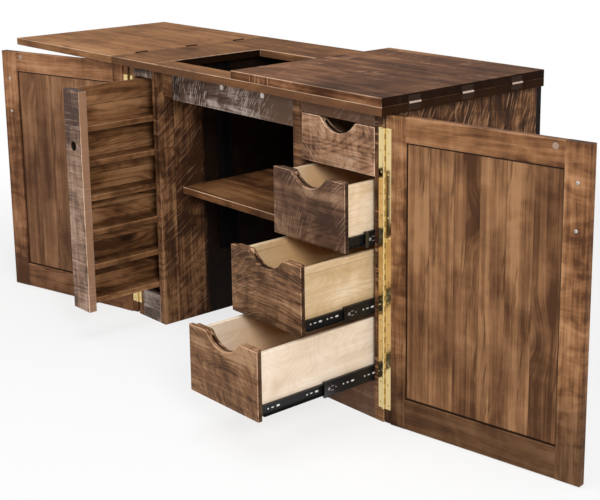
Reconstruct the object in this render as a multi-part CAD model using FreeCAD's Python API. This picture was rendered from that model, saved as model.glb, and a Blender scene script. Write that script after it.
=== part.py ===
# Shaker sewing desk, drawn open as it stands in use.
# Millimetres, +Z up, +X to the sitter's right, the sitter on the -Y side.
# The origin is the middle of the back panel's bottom edge.
import FreeCAD
import Part
import os

V = FreeCAD.Vector
Z_AXIS = V(0, 0, 1)

# Top and its two fold-over leaves
top_width = 1092.2
top_depth = 559.0
top_height = 768.0
board = 20.6
leaf_meeting_gap = 7.0
leaf_joint_gap = 0.5
fold_gap = 0.4
opening_width = 510.0
opening_depth = 309.0
opening_front_margin = 69.0
right_leaf_rest_angle = 180.0

# Small hinges let into the meeting edges of top and leaves
leaf_hinge_count = 3
leaf_hinge_end_distance = 103.0
leaf_hinge_length = 39.0
leaf_hinge_plate = 1.2
leaf_hinge_height = 16.0
leaf_hinge_knuckle_radius = 2.8
leaf_hinge_pin_radius = 1.2
leaf_hinge_bore_clearance = 0.05
leaf_hinge_knuckle_gap = 0.3
leaf_hinge_notch_clearance = 0.6

# Case
case_width = 1030.0
case_depth = 533.4
top_overhang = 37.6
back_thickness = 18.0
left_side_thickness = 25.0
left_divider_thickness = 25.0
right_divider_thickness = 33.0
right_side_thickness = 30.5
rack_opening = 85.0
drawer_opening = 253.0
rail_depth = 20.0
left_top_rail_height = 32.4
right_top_rail_height = 36.4
left_bottom_rail_height = 82.5
right_bottom_rail_height = 94.0
floor_thickness = 16.0
floor_drop = 4.0

# Apron across the kneehole and the plain block at its left end
apron_height = 78.4
apron_thickness = 20.0
apron_block_width = 71.0
apron_block_setback = 18.4
apron_block_thickness = 19.0
catch_radius = 7.5
catch_proud = 1.5
catch_spread = 166.0
catch_drop = 16.4

# Doors
door_thickness = 19.0
door_gap = 3.0
door_meeting_gap = 2.0
door_floor_gap = 3.0
door_top_gap = 2.4
hinge_stile_width = 57.0
free_stile_width = 60.0
door_top_rail_width = 58.0
door_bottom_rail_width = 73.0
panel_thickness = 9.0
panel_setback = 5.0
panel_groove_depth = 8.0
panel_play = 0.2
strike_radius = 7.5
strike_thickness = 1.2
pull_screw_spacing = 101.6
pull_screw_inset = 29.0
pull_upper_screw_drop = 83.4
pull_reach = 26.0
pull_radius = 5.0
pull_post_radius = 4.0
pull_end = 12.0
pull_screw_radius = 2.0
pull_screw_hole_radius = 2.2
pull_screw_head_radius = 4.0
pull_screw_head = 1.6
right_door_rest_angle = 188.6
left_door_rest_angle = 166.0

# Piano hinges of the doors
piano_leaf = 1.2
piano_leaf_width = 14.3
piano_leaf_inset = 1.5
piano_bottom = 37.0
piano_top_drop = 32.0
piano_knuckle_radius = 3.0
piano_pin_radius = 1.2
piano_bore_clearance = 0.05
piano_side_gap = 0.2
piano_knuckle_gap = 0.3
piano_knuckle_count = 27
piano_rabbet_margin = 1.5

# Drawer and rack slides, each three nested steel members
slide_back_gap = 55.8
slide_space = 12.7
slide_steel = 1.2
slide_outer_height = 45.0
slide_middle_height = 36.0
slide_inner_height = 27.0
slide_outer_reach = 9.6
slide_middle_start = 2.4
slide_middle_reach = 10.6
slide_inner_start = 4.5
slide_race_gap = 0.3
slide_cage_length = 150.0
slide_cage_start = 5.0
slide_cage_end = 8.5
slide_setback = 20.4

# Drawers, from the top one down
drawer_gap = 2.0
drawer_height_shares = [115 / 607, 164 / 607, 164 / 607, 164 / 607]
drawer_side_gap = 0.75
drawer_front_thickness = 12.0
drawer_back_gap = 44.4
drawer_box_front_thickness = 10.0
drawer_box_wall = 12.0
drawer_box_rise = 8.0
drawer_box_drop = 10.5
drawer_bottom = 6.0
drawer_bottom_rise = 8.0
drawer_slide_rise = 20.0
drawer_rail_depth = 20.0
drawer_rail_gap = 1.0
drawer_rail_front_gap = 1.4
scoop_width = 134.0
scoop_depth = 33.0
scoop_lip_radius = 14.0
drawer_extensions = [0, 92.0, 225.0, 353.0]

# Pull-out rack in the left pedestal
rack_side_gap = 3.0
rack_front_thickness = 24.0
rack_front_gap = 3.5
rack_back_gap = 47.4
rack_wall = 12.0
rack_shelf = 15.0
rack_first_shelf_top = 124.0
rack_top_gap = 7.8
rack_bay_count = 6
rack_hole_radius = 13.0
rack_hole_drop = 154.0
rack_slide_gap = 1.4
rack_slide_height_shares = [1 / 12, 11 / 12]
rack_extension = 233.0

# Lifting platform in the kneehole
lift_travel = 343.0
platform_thickness = 19.0
platform_side_gap = 14.0
platform_front = 104.0
platform_depth = 320.0
lift_top_gap = 2.4
guide_depth = 12.0
guide_width = 46.0
guide_steel = 2.0
guide_slot = 20.0
guide_top_gap = 6.0
guide_foot_gap = 5.0
lift_run_gap = 0.3
lift_head = 6.0
lift_plate_length = 180.0
lift_plate_steel = 3.0
lift_plate_width = 60.0
lift_arm = 60.0
guide_stop = 8.0

# Cuts run past the faces that they open by this much
overrun = 2.0

# Places that several pieces share
back_inside = -back_thickness / 2
case_front = back_inside - case_depth
top_front = case_front - top_overhang
top_back = top_front + top_depth
top_under = top_height - board
half_top = top_width / 2
half_case = case_width / 2
left_side_inside = -half_case + left_side_thickness
left_divider_outside = left_side_inside + rack_opening
kneehole_left = left_divider_outside + left_divider_thickness
right_side_inside = half_case - right_side_thickness
right_divider_outside = right_side_inside - drawer_opening
kneehole_right = right_divider_outside - right_divider_thickness
kneehole_middle = (kneehole_left + kneehole_right) / 2
leaf_pivot_height = top_height + fold_gap / 2
leaf_width = half_top - leaf_meeting_gap / 2
apron_bottom = top_under - apron_height

door_inside = case_front - door_gap
door_outside = door_inside - door_thickness
door_edge = door_meeting_gap / 2
door_bottom_height = door_floor_gap
door_top_height = top_under - door_top_gap
piano_axis_x = half_case + piano_knuckle_radius + piano_side_gap
piano_axis_y = case_front - piano_knuckle_radius - piano_side_gap
piano_leaf_outer_x = half_case - piano_leaf_inset
piano_leaf_inner_x = piano_leaf_outer_x - piano_leaf_width
catch_height = top_under - catch_drop
piano_top = door_top_height - piano_top_drop
piano_length = piano_top - piano_bottom
pull_upper_screw_height = door_top_height - pull_upper_screw_drop

slide_length = case_depth - slide_setback - slide_back_gap
drawer_box_depth = case_depth - drawer_front_thickness - drawer_back_gap
drawer_stack_bottom = right_bottom_rail_height + drawer_gap
drawer_stack_top = top_under - right_top_rail_height - drawer_gap
drawer_count = len(drawer_extensions)
rack_depth = case_depth - rack_front_thickness - rack_back_gap
rack_top = top_under - left_top_rail_height - rack_top_gap
rack_bay_pitch = (rack_top - rack_first_shelf_top) / rack_bay_count
platform_height = top_under - lift_top_gap - lift_travel


def block(x0, x1, y0, y1, z0, z1):
    """A box between two corners, given in any order."""
    low = V(min(x0, x1), min(y0, y1), min(z0, z1))
    return Part.makeBox(abs(x1 - x0), abs(y1 - y0), abs(z1 - z0), low)


def cut_all(shape, tools):
    for tool in tools:
        shape = shape.cut(tool)
    return shape


def fuse_all(shapes):
    whole = shapes[0]
    for shape in shapes[1:]:
        whole = whole.fuse(shape)
    return whole.removeSplitter()


def moved(shapes, offset):
    """Copies of the shapes, moved by a vector."""
    out = []
    for shape in shapes:
        copy = shape.copy()
        copy.translate(offset)
        out.append(copy)
    return out


def mirrored(shapes, x):
    """Copies of the shapes, mirrored across the plane at this x."""
    return [shape.mirror(V(x, 0, 0), V(1, 0, 0)) for shape in shapes]


def save(name, shapes):
    whole = shapes[0] if len(shapes) == 1 else Part.makeCompound(shapes)
    whole.exportStep("parts/" + name + ".step")
    print(name, len(shapes), round(sum(shape.Volume for shape in shapes)))


# Top, leaves and their hinges

def leaf_hinge_places():
    """The y of each small hinge's middle, front to back."""
    first = top_front + leaf_hinge_end_distance
    last = top_back - leaf_hinge_end_distance
    step = (last - first) / (leaf_hinge_count - 1)
    return [first + number * step for number in range(leaf_hinge_count)]


def hinge_seat(y, sign):
    """What one small hinge takes out of the board edge on one side of it."""
    half = leaf_hinge_length / 2
    reach = leaf_hinge_knuckle_radius + leaf_hinge_notch_clearance
    face = half_top + sign * leaf_joint_gap / 2
    past = half_top - sign * overrun
    low = leaf_pivot_height - leaf_hinge_height
    plate = block(past, face + sign * leaf_hinge_plate, y - half, y + half, low, top_height + overrun)
    end = half + leaf_hinge_notch_clearance
    knuckle = block(past, half_top + sign * reach, y - end, y + end,
                    leaf_pivot_height - reach, top_height + overrun)
    return [plate, knuckle]


def knuckle_rod(radius, y0, y1):
    return Part.makeCylinder(radius, y1 - y0, V(half_top, y0, leaf_pivot_height), V(0, 1, 0))


def small_hinge(y, sign):
    """One small hinge half: a plate with its own knuckles, sign -1 on the top, 1 on the leaf."""
    half = leaf_hinge_length / 2
    third = leaf_hinge_length / 3
    starts = [y - third / 2] if sign < 0 else [y - half, y + third / 2]
    others = [y - half, y + third / 2] if sign < 0 else [y - third / 2]
    face = half_top + sign * leaf_joint_gap / 2
    plate = block(face, face + sign * leaf_hinge_plate, y - half, y + half,
                  leaf_pivot_height - leaf_hinge_height, leaf_pivot_height)
    gap = leaf_hinge_knuckle_gap
    clear = leaf_hinge_knuckle_radius + gap
    for start in others:
        plate = plate.cut(knuckle_rod(clear, start - gap, start + third + gap))
    parts = [plate]
    for start in starts:
        parts.append(knuckle_rod(leaf_hinge_knuckle_radius, start + gap / 2, start + third - gap / 2))
    whole = fuse_all(parts)
    if sign < 0:
        bore = leaf_hinge_pin_radius + leaf_hinge_bore_clearance
        return whole.cut(knuckle_rod(bore, y - half - overrun, y + half + overrun))
    return fuse_all([whole, knuckle_rod(leaf_hinge_pin_radius, y - half, y + half)])


def make_top():
    opening_front = top_front + opening_front_margin
    top = block(-half_top + leaf_joint_gap / 2, half_top - leaf_joint_gap / 2,
                top_front, top_back, top_under, top_height)
    top = top.cut(block(kneehole_middle - opening_width / 2, kneehole_middle + opening_width / 2,
                        opening_front, opening_front + opening_depth,
                        top_under - overrun, top_height + overrun))
    for y in leaf_hinge_places():
        seat = hinge_seat(y, -1)
        top = cut_all(top, seat + mirrored(seat, 0))
    save("top", [top])


def make_leaves():
    """The left leaf lies out flat at rest, the right one is folded over the top."""
    leaf = block(half_top + leaf_joint_gap / 2, half_top + leaf_width, top_front, top_back,
                 top_under, top_height)
    for y in leaf_hinge_places():
        leaf = cut_all(leaf, hinge_seat(y, 1))
    plates = [small_hinge(y, -1) for y in leaf_hinge_places()]
    straps = [small_hinge(y, 1) for y in leaf_hinge_places()]
    save("left_leaf", mirrored([leaf], 0))
    save("left_leaf_hinges", mirrored(straps, 0))
    pivot = V(half_top, 0, leaf_pivot_height)
    for shape in [leaf] + straps:
        shape.rotate(pivot, V(0, 1, 0), right_leaf_rest_angle)
    save("right_leaf", [leaf])
    save("right_leaf_hinges", straps)
    save("top_hinge_plates", plates + mirrored(plates, 0))


# Case

def make_case():
    def board_on_edge(x0, x1):
        return block(x0, x1, case_front, back_inside, 0, top_under)

    save("left_side", [board_on_edge(-half_case, left_side_inside)])
    save("left_divider", [board_on_edge(left_divider_outside, kneehole_left)])
    save("right_divider", [board_on_edge(kneehole_right, right_divider_outside)])
    save("right_side", [board_on_edge(right_side_inside, half_case)])
    save("back_panel", [block(-half_case, half_case, back_inside, -back_inside, 0, top_under)])

    rail_back = case_front + rail_depth
    save("top_rails", [
        block(left_side_inside, left_divider_outside, case_front, rail_back,
              top_under - left_top_rail_height, top_under),
        block(right_divider_outside, right_side_inside, case_front, rail_back,
              top_under - right_top_rail_height, top_under)])
    save("bottom_rails", [
        block(left_side_inside, left_divider_outside, case_front, rail_back,
              0, left_bottom_rail_height),
        block(right_divider_outside, right_side_inside, case_front, rail_back,
              0, right_bottom_rail_height)])
    left_floor = left_bottom_rail_height - floor_drop
    right_floor = right_bottom_rail_height - floor_drop
    save("pedestal_floors", [
        block(left_side_inside, left_divider_outside, rail_back, back_inside,
              left_floor - floor_thickness, left_floor),
        block(right_divider_outside, right_side_inside, rail_back, back_inside,
              right_floor - floor_thickness, right_floor)])


def make_apron():
    block_right = kneehole_left + apron_block_width
    block_front = case_front + apron_block_setback
    save("apron", [block(block_right, kneehole_right, case_front, case_front + apron_thickness,
                         apron_bottom, top_under)])
    save("apron_end_block", [block(kneehole_left, block_right, block_front,
                                   block_front + apron_block_thickness, apron_bottom, top_under)])
    catches = []
    for side in (-1, 1):
        foot = V(side * catch_spread / 2, case_front - catch_proud, catch_height)
        catches.append(Part.makeCylinder(catch_radius, catch_proud, foot, V(0, 1, 0)))
    save("door_catches", catches)


# Slides

def channel(x0, x1, height, web_at_start, y0, y1, z):
    """A steel channel along y, its web at x0 or at x1, its flanges level."""
    low = z - height / 2
    high = z + height / 2
    inner_x0 = x0 + slide_steel if web_at_start else x0 - overrun
    inner_x1 = x1 + overrun if web_at_start else x1 - slide_steel
    hollow = block(inner_x0, inner_x1, y0 - overrun, y1 + overrun, low + slide_steel, high - slide_steel)
    return block(x0, x1, y0, y1, low, high).cut(hollow)


def ball_cages(wall, half_height, space_half_height, y0, y1, z):
    """Two strips that carry the balls above and below a member."""
    x0 = wall + slide_cage_start
    x1 = wall + slide_cage_end
    reach = space_half_height - slide_race_gap
    return [block(x0, x1, y0, y1, z + half_height, z + reach),
            block(x0, x1, y0, y1, z - reach, z - half_height)]


def slide_members(wall, y_front, z):
    """Outer, middle and inner member on a wall that faces +X, all pushed in."""
    y_back = y_front + slide_length
    cage_front = y_back - slide_cage_length
    outer = channel(wall, wall + slide_outer_reach, slide_outer_height, True, y_front, y_back, z)
    middle = channel(wall + slide_middle_start, wall + slide_middle_reach, slide_middle_height, True,
                     y_front, y_back, z)
    middle = fuse_all([middle] + ball_cages(wall, slide_middle_height / 2,
                                            slide_outer_height / 2 - slide_steel,
                                            cage_front, y_back, z))
    inner = channel(wall + slide_inner_start, wall + slide_space, slide_inner_height, False,
                    y_front, y_back, z)
    inner = fuse_all([inner] + ball_cages(wall, slide_inner_height / 2,
                                          slide_middle_height / 2 - slide_steel,
                                          cage_front, y_back, z))
    return outer, middle, inner


# Drawers

def drawer_spans():
    """The bottom and top height of each drawer front, from the top drawer down."""
    whole = drawer_stack_top - drawer_stack_bottom - (drawer_count - 1) * drawer_gap
    spans = []
    high = drawer_stack_top
    for share in drawer_height_shares:
        low = high - share * whole
        spans.append((low, high))
        high = low - drawer_gap
    return spans


def scoop_cutter(top, y0, y1):
    """The finger scoop: one hollow arc with a rounded lip at each end."""
    middle = (right_divider_outside + right_side_inside) / 2
    half = scoop_width / 2
    reach = (half * half + scoop_depth * scoop_depth) / (2 * scoop_depth)
    radius = reach - scoop_lip_radius
    centre = V(middle, y0, top - scoop_depth + radius)
    outline = []
    lip_points = []
    for side in (-1, 1):
        lip_centre = V(middle + side * half, y0, top - scoop_lip_radius)
        inward = (centre - lip_centre).normalize()
        joint = lip_centre + inward * scoop_lip_radius
        crown = lip_centre + V(0, 0, scoop_lip_radius)
        bisector = (inward + Z_AXIS).normalize()
        outline.append(Part.Arc(crown, lip_centre + bisector * scoop_lip_radius, joint).toShape())
        lip_points.append((crown, joint))
    bottom = V(middle, y0, top - scoop_depth)
    outline.append(Part.Arc(lip_points[0][1], bottom, lip_points[1][1]).toShape())
    left_high = lip_points[0][0] + V(0, 0, overrun)
    right_high = lip_points[1][0] + V(0, 0, overrun)
    outline.append(Part.makeLine(lip_points[0][0], left_high))
    outline.append(Part.makeLine(left_high, right_high))
    outline.append(Part.makeLine(right_high, lip_points[1][0]))
    wire = Part.Wire(Part.__sortEdges__(outline))
    return Part.Face(wire).extrude(V(0, y1 - y0, 0))


def make_drawer(name, low, high, extension):
    out = V(0, -extension, 0)
    front_back = case_front + drawer_front_thickness
    scoop = scoop_cutter(high, case_front - overrun, front_back + drawer_box_front_thickness + overrun)
    x0 = right_divider_outside + slide_space
    x1 = right_side_inside - slide_space
    y0 = front_back + drawer_box_front_thickness
    y1 = front_back + drawer_box_depth
    z0 = low + drawer_box_rise
    front = [
        block(right_divider_outside + drawer_side_gap, right_side_inside - drawer_side_gap,
              case_front, front_back, low, high).cut(scoop),
        block(x0, x1, front_back, y0, z0, high).cut(scoop)]
    z1 = high - drawer_box_drop
    wall = drawer_box_wall
    bottom_low = z0 + drawer_bottom_rise
    box = [
        block(x0 + wall, x1 - wall, y1 - wall, y1, z0, z1),
        block(x0, x0 + wall, y0, y1, z0, z1),
        block(x1 - wall, x1, y0, y1, z0, z1),
        block(x0 + wall, x1 - wall, y0, y1 - wall, bottom_low, bottom_low + drawer_bottom)]
    slide_height = low + drawer_slide_rise
    middle = (right_divider_outside + right_side_inside) / 2
    outer_one, middle_one, inner_one = slide_members(right_divider_outside,
                                                     case_front + slide_setback, slide_height)
    inners = [inner_one] + mirrored([inner_one], middle)
    middles = [middle_one] + mirrored([middle_one], middle)
    save(name + "_front", moved(front, out))
    save(name + "_box", moved(box, out))
    save(name + "_slide_inners", moved(inners, out))
    save(name + "_slide_middles", moved(middles, out / 2))
    return [outer_one] + mirrored([outer_one], middle)


def make_drawers():
    outers = []
    rails = []
    spans = drawer_spans()
    for number in range(drawer_count):
        low, high = spans[number]
        outers += make_drawer("drawer_%d" % (number + 1), low, high, drawer_extensions[number])
    rail_front = (case_front + drawer_front_thickness + drawer_box_front_thickness
                  + drawer_rail_front_gap)
    for number in range(drawer_count - 1):
        rail_top = spans[number][0] + drawer_slide_rise - slide_outer_height / 2
        rail_bottom = spans[number + 1][1] - drawer_box_drop + drawer_rail_gap
        rails.append(block(right_divider_outside, right_side_inside, rail_front,
                           rail_front + drawer_rail_depth, rail_bottom, rail_top))
    save("drawer_slide_outers", outers)
    save("drawer_rails", rails)


# Rack

def make_rack():
    out = V(0, -rack_extension, 0)
    x0 = left_side_inside + rack_side_gap
    x1 = left_divider_outside - rack_side_gap
    top = rack_top
    front_back = case_front + rack_front_thickness
    hole_place = V((x0 + x1) / 2, case_front - overrun, top - rack_hole_drop)
    hole = Part.makeCylinder(rack_hole_radius, rack_front_thickness + 2 * overrun, hole_place, V(0, 1, 0))
    front = block(x0, x1, case_front, front_back, left_bottom_rail_height + rack_front_gap, top).cut(hole)
    save("rack_front", moved([front], out))

    wall = left_side_inside + slide_space
    y1 = front_back + rack_depth
    low = rack_first_shelf_top - rack_shelf
    side_board = block(wall, wall + rack_wall, front_back, y1, low, top)
    end_board = block(wall + rack_wall, x1, y1 - rack_wall, y1, low, top)
    save("rack_back", moved([side_board, end_board], out))
    shelves = []
    for number in range(rack_bay_count):
        shelf_top = rack_first_shelf_top + number * rack_bay_pitch
        shelves.append(block(wall + rack_wall, x1, front_back, y1 - rack_wall,
                             shelf_top - rack_shelf, shelf_top))
    save("rack_shelves", moved(shelves, out))

    outers = []
    middles = []
    inners = []
    for share in rack_slide_height_shares:
        z = rack_first_shelf_top + share * (top - rack_first_shelf_top)
        members = slide_members(left_side_inside, front_back + rack_slide_gap, z)
        outers.append(members[0])
        middles.append(members[1])
        inners.append(members[2])
    save("rack_slide_outers", outers)
    save("rack_slide_middles", moved(middles, out / 2))
    save("rack_slide_inners", moved(inners, out))


# Lifting platform

def make_lift():
    y0 = top_front + platform_front
    y1 = y0 + platform_depth
    y_middle = (y0 + y1) / 2
    low = platform_height - platform_thickness
    left_edge = kneehole_left + platform_side_gap
    right_edge = kneehole_right - platform_side_gap
    save("lift_platform", [block(left_edge, right_edge, y0, y1, low, platform_height)])

    guide_out = kneehole_left + guide_depth
    half = guide_width / 2
    slot_half = guide_slot / 2
    guide_top = top_under - guide_top_gap
    plate_low = low - lift_plate_length
    floor = plate_low - guide_foot_gap
    guide_bottom = floor - guide_stop
    guide = block(kneehole_left, guide_out, y_middle - half, y_middle + half, guide_bottom, guide_top)
    hollow = block(kneehole_left + guide_steel, guide_out - guide_steel, y_middle - half + guide_steel,
                   y_middle + half - guide_steel, floor, guide_top + overrun)
    slot = block(guide_out - guide_steel - overrun, guide_out + overrun, y_middle - slot_half,
                 y_middle + slot_half, floor, guide_top + overrun)
    guide = cut_all(guide, [hollow, slot])
    save("lift_guides", [guide] + mirrored([guide], kneehole_middle))

    plate_x0 = left_edge + lift_run_gap
    plate_x1 = plate_x0 + lift_plate_steel
    plate_half = lift_plate_width / 2
    head_x0 = kneehole_left + guide_steel + lift_run_gap
    head_half = half - guide_steel - lift_run_gap
    head = block(head_x0, guide_out - guide_steel - lift_run_gap, y_middle - head_half,
                 y_middle + head_half, plate_low, low)
    neck_half = slot_half - lift_run_gap
    neck = block(head_x0 + lift_head / 2, plate_x0, y_middle - neck_half, y_middle + neck_half,
                 plate_low, low)
    plate = block(plate_x0, plate_x1, y_middle - plate_half, y_middle + plate_half, plate_low, low)
    arm = block(plate_x1, plate_x1 + lift_arm, y_middle - plate_half, y_middle + plate_half,
                low - lift_plate_steel, low)
    bracket = fuse_all([head, neck, plate, arm])
    save("lift_brackets", [bracket] + mirrored([bracket], kneehole_middle))


# Doors

def piano_rod(radius, z0, z1):
    return Part.makeCylinder(radius, z1 - z0, V(piano_axis_x, piano_axis_y, z0), Z_AXIS)


def piano_half(y_face, y_back, own):
    """One leaf of the piano hinge with every second knuckle, own 0 or 1."""
    top = piano_top
    pitch = piano_length / piano_knuckle_count
    gap = piano_knuckle_gap
    leaf = block(piano_leaf_inner_x, piano_axis_x - piano_pin_radius, y_face, y_back, piano_bottom, top)
    clear = piano_knuckle_radius + piano_side_gap
    knuckles = []
    gaps = []
    for number in range(piano_knuckle_count):
        start = piano_bottom + number * pitch
        if number % 2 == own:
            knuckles.append(piano_rod(piano_knuckle_radius, start + gap / 2, start + pitch - gap / 2))
        else:
            gaps.append(piano_rod(clear, start - gap / 2, start + pitch + gap / 2))
    leaf = leaf.cut(Part.makeCompound(gaps))
    whole = fuse_all([leaf] + knuckles)
    bore = piano_rod(piano_pin_radius + piano_bore_clearance, piano_bottom - overrun, top + overrun)
    return whole.cut(bore)


def door_pull(free_edge):
    """A round bar on two posts, with a screw through the stile into each post."""
    x = free_edge + pull_screw_inset
    bar_y = door_outside - pull_reach
    heights = [pull_upper_screw_height - pull_screw_spacing, pull_upper_screw_height]
    bar = Part.makeCylinder(pull_radius, pull_screw_spacing + 2 * pull_end,
                            V(x, bar_y, heights[0] - pull_end), Z_AXIS)
    shapes = [bar]
    holes = []
    for z in heights:
        post = Part.makeCylinder(pull_post_radius, pull_reach, V(x, bar_y, z), V(0, 1, 0))
        screw = Part.makeCylinder(pull_screw_radius, door_thickness, V(x, door_outside, z), V(0, 1, 0))
        head = Part.makeCylinder(pull_screw_head_radius, pull_screw_head, V(x, door_inside, z), V(0, 1, 0))
        hole = Part.makeCylinder(pull_screw_hole_radius, door_thickness + 2 * overrun,
                                 V(x, door_outside - overrun, z), V(0, 1, 0))
        shapes += [post, screw, head]
        holes.append(hole)
    return fuse_all(shapes), holes


def make_doors():
    """The right door is built shut, then turned to its rest angle. The left one mirrors it."""
    x0 = door_edge
    x1 = half_case
    z0 = door_bottom_height
    z1 = door_top_height
    free_stile = block(x0, x0 + free_stile_width, door_outside, door_inside, z0, z1)
    hinge_stile = block(x1 - hinge_stile_width, x1, door_outside, door_inside, z0, z1)
    inner_x0 = x0 + free_stile_width
    inner_x1 = x1 - hinge_stile_width
    inner_z0 = z0 + door_bottom_rail_width
    inner_z1 = z1 - door_top_rail_width
    bottom_rail = block(inner_x0, inner_x1, door_outside, door_inside, z0, inner_z0)
    top_rail = block(inner_x0, inner_x1, door_outside, door_inside, inner_z1, z1)

    panel_back = door_inside - panel_setback
    panel_front = panel_back - panel_thickness
    grip = panel_groove_depth
    groove = block(inner_x0 - grip, inner_x1 + grip, panel_front, panel_back, inner_z0 - grip, inner_z1 + grip)
    play = panel_play
    panel = block(inner_x0 - grip + play, inner_x1 + grip - play, panel_front, panel_back,
                  inner_z0 - grip + play, inner_z1 + grip - play)

    door_leaf_back = 2 * piano_axis_y - case_front
    door_leaf_face = door_leaf_back + piano_leaf
    rabbet = block(piano_leaf_inner_x - piano_rabbet_margin, x1 + overrun, door_leaf_back,
                   door_inside + overrun, z0 - overrun, z1 + overrun)
    pull, holes = door_pull(x0)
    strike_place = V(catch_spread / 2, door_inside, catch_height)
    pieces = {
        "stiles": [cut_all(free_stile, holes + [groove]), cut_all(hinge_stile, [groove, rabbet])],
        "rails": [bottom_rail.cut(groove), top_rail.cut(groove)],
        "panel": [panel],
        "pull": [pull],
        "strike": [Part.makeCylinder(strike_radius, strike_thickness, strike_place, V(0, 1, 0))],
        "hinge_leaf": [piano_half(door_leaf_back, door_leaf_face, 1)],
    }
    axis_foot = V(piano_axis_x, piano_axis_y, 0)
    for name, shapes in pieces.items():
        right = [shape.copy() for shape in shapes]
        left = [shape.copy() for shape in shapes]
        for shape in right:
            shape.rotate(axis_foot, Z_AXIS, right_door_rest_angle)
        for shape in left:
            shape.rotate(axis_foot, Z_AXIS, left_door_rest_angle)
        save("right_door_" + name, right)
        save("left_door_" + name, mirrored(left, 0))

    case_leaf = piano_half(case_front - piano_leaf, case_front, 0)
    pin = piano_rod(piano_pin_radius, piano_bottom, piano_top)
    save("case_hinge_leaves", [case_leaf] + mirrored([case_leaf], 0))
    save("right_hinge_pin", [pin])
    save("left_hinge_pin", mirrored([pin], 0))


def main():
    os.makedirs("parts", exist_ok=True)
    make_top()
    make_leaves()
    make_case()
    make_apron()
    make_drawers()
    make_rack()
    make_lift()
    make_doors()
    print("door hinge axis", piano_axis_x, piano_axis_y)
    print("leaf hinge axis", half_top, leaf_pivot_height)


main()
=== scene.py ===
# Shaker sewing desk: finishes, small hardware, light and camera round the built frame.
# Metres, +Z up, +X to the sitter's right, the sitter on the -Y side.
import math
import bpy
import bmesh
from mathutils import Matrix, Vector


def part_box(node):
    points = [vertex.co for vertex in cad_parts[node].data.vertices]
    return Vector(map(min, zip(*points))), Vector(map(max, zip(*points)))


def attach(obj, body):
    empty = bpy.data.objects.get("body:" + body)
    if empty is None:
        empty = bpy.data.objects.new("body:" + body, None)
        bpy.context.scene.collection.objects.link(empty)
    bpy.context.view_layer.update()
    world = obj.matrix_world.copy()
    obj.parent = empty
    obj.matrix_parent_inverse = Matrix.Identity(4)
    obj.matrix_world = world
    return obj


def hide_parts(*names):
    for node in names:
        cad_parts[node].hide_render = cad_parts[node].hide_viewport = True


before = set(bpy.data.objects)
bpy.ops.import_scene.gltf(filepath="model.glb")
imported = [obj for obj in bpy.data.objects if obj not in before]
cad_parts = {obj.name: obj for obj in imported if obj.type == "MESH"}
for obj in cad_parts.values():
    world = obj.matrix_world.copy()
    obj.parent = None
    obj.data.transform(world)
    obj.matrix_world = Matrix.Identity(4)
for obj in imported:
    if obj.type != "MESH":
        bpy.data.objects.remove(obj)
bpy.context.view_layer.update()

MM = 0.001

# Camera, solved from the photograph's straight edges
FOCAL_PIXELS = 1298.2
IMAGE_WIDTH = 600
SENSOR_WIDTH = 36.0
CAMERA_PLACE = Vector((2.5610, -2.5420, 1.3056))
CAMERA_YAW = -0.8632
CAMERA_PITCH = 0.2287
CAMERA_ROLL = -0.0134
CAMERA_SHIFT = -0.15

# Swing of each open door about its hinge, in degrees, and its hinge line
DOOR_ANGLES = {"right": 188.6, "left": -166.0}
HINGE_X = 518.2 * MM
HINGE_Y = -545.6 * MM

# Edges of the door panels' openings, doors shut
PANEL_INNER = 61 * MM
PANEL_OUTER = 458 * MM
PANEL_LOW = 76 * MM
PANEL_HIGH = 687 * MM

# The painted shadow line round a panel fades between these distances from its opening's edge
PANEL_SHADOW_START = 3.0 * MM
PANEL_SHADOW_END = 5.2 * MM


# Node trees

def link(tree, socket, value):
    """Sets a socket, or links it where the value is another socket."""
    if isinstance(value, bpy.types.NodeSocket):
        tree.links.new(value, socket)
    elif socket.type == "RGBA" and len(value) == 3:
        socket.default_value = (*value, 1.0)
    else:
        socket.default_value = value


def give(tree, sockets, **values):
    """Sets or links sockets by name, or by number as n0, n1."""
    for key, value in values.items():
        numbered = key[0] == "n" and key[1:].isdigit()
        link(tree, sockets[int(key[1:])] if numbered else sockets[key.replace("_", " ")], value)


def place(tree, kind, settings=None, **inputs):
    """Adds a shader node of a kind, with its settings and inputs."""
    node = tree.nodes.new("ShaderNode" + kind)
    for key, value in (settings or {}).items():
        setattr(node, key, value)
    give(tree, node.inputs, **inputs)
    return node


def axes(tree, vector):
    """The parts of a vector, by the names X, Y and Z."""
    return place(tree, "SeparateXYZ", Vector=vector).outputs


def vector_of(tree, x, y, z):
    """A vector from three values, which may be sockets."""
    return place(tree, "CombineXYZ", X=x, Y=y, Z=z).outputs[0]


def vector_calc(tree, operation, first, second=(0.0, 0.0, 0.0)):
    """One step of arithmetic on vectors."""
    node = place(tree, "VectorMath", {"operation": operation}, n0=first, n1=second)
    return node.outputs[0]


def length_of(tree, vector):
    return place(tree, "VectorMath", {"operation": "LENGTH"}, n0=vector).outputs["Value"]


def calc(tree, operation, first, second=0.0, third=0.0):
    """One step of arithmetic on values or sockets."""
    node = place(tree, "Math", {"operation": operation}, n0=first, n1=second, n2=third)
    return node.outputs[0]


def product(tree, first, *others):
    """Several values multiplied together."""
    result = first
    for value in others:
        result = calc(tree, "MULTIPLY", result, value)
    return result


def about_nought(tree, value, spread):
    """A value with a mean of one half, given a mean of nought and a new spread."""
    return calc(tree, "MULTIPLY_ADD", value, spread, -spread / 2)


def noise(tree, vector, scale, detail, rough=0.5, distortion=0.0):
    """Noise over a vector stretched by a scale for each axis."""
    stretched = vector_calc(tree, "MULTIPLY", vector, scale)
    node = place(tree, "TexNoise", Vector=stretched, Scale=1.0, Detail=detail, Roughness=rough,
                 Distortion=distortion)
    return node.outputs[0]


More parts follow.
